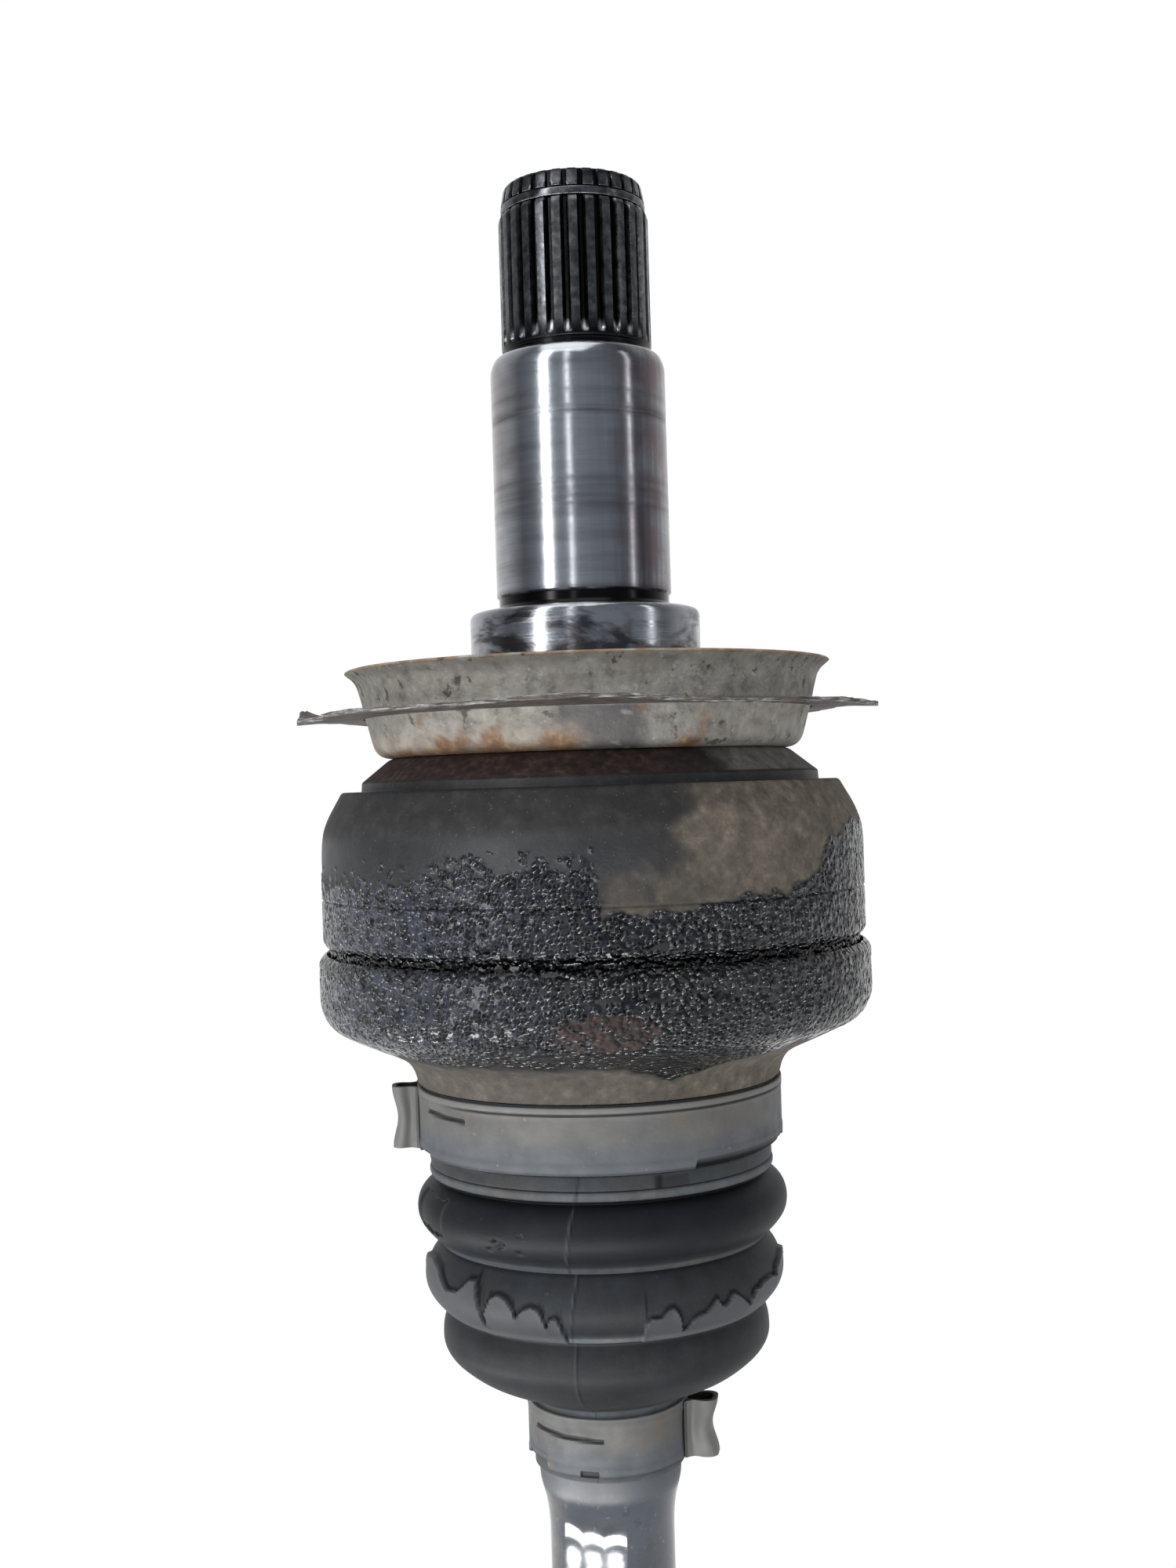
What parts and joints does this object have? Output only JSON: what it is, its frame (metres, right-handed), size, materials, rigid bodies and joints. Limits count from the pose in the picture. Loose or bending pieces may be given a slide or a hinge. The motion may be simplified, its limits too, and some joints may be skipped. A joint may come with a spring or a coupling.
{
  "type": "half shaft",
  "caption": "Half shaft with a plunging inner ball joint, a fixed outer ball joint, two boots and splined stubs at both ends.",
  "frame": {"origin": "on the shaft's axis, in the plane of the inner collar's top face, where the seal journal starts", "axes": "+Z along the shaft's axis, out through the inner (gearbox) stub; +X is square to it"},
  "size_m": [0.116, 0.116, 0.6309],
  "materials": {
    "forged_steel": "forged and machined steel, oily",
    "spring_steel": "bright spring steel",
    "galvanised_steel": "pressed steel, dull zinc",
    "deflector_sheet": "dark laminated sheet",
    "can_steel": "black coated pressed steel",
    "seal_rubber": "matte",
    "clamp_steel": "dusty stainless band",
    "boot_rubber": "matte, dusty",
    "bearing_steel": "ground",
    "bar_paint": "satin paint"
  },
  "bodies": {
    "inner_housing": {"inner_joint_housing": "forged_steel", "stub_snap_ring": "spring_steel", "dust_shield": "galvanised_steel", "deflector_disc": "deflector_sheet", "boot_can": "can_steel", "can_seal_ring": "seal_rubber", "ball_stop_ring": "spring_steel", "inner_large_clamp": "clamp_steel"},
    "inner_cage_set": {"inner_cage": "bearing_steel", "inner_balls": "bearing_steel"},
    "inner_boot_ring": {"inner_boot": "boot_rubber"},
    "shaft": {"inner_race": "bearing_steel", "inner_race_circlip": "spring_steel", "shaft_bar": "bar_paint", "inner_small_clamp": "clamp_steel", "outer_small_clamp": "clamp_steel", "outer_race": "bearing_steel", "outer_race_circlip": "spring_steel", "outer_boot": "boot_rubber"},
    "outer_cage_set": {"outer_cage": "bearing_steel", "outer_balls": "bearing_steel"},
    "outer_housing": {"outer_joint_housing": "forged_steel", "outer_large_clamp": "clamp_steel"}
  },
  "joints": [
    {"name": "inner_plunge", "type": "slide", "parent": "inner_housing", "child": "inner_cage_set", "axis": [0, 0, 1], "range_m": [0, 0.016], "deforming": ["inner_boot"]},
    {"name": "inner_tilt_x", "type": "hinge", "parent": "inner_cage_set", "child": "inner_boot_ring", "pos_m": [0, 0, -0.06636], "axis": [1, 0, 0], "range_deg": [-12, 12]},
    {"name": "inner_tilt_y", "type": "hinge", "parent": "inner_boot_ring", "child": "shaft", "pos_m": [0, 0, -0.06636], "axis": [0, 1, 0], "range_deg": [-12, 12]},
    {"name": "outer_tilt_x", "type": "hinge", "parent": "shaft", "child": "outer_cage_set", "pos_m": [0, 0, -0.42986], "axis": [1, 0, 0], "range_deg": [-30, 30], "deforming": ["outer_boot"]},
    {"name": "outer_tilt_y", "type": "hinge", "parent": "outer_cage_set", "child": "outer_housing", "pos_m": [0, 0, -0.42986], "axis": [0, 1, 0], "range_deg": [-30, 30]}
  ]
}
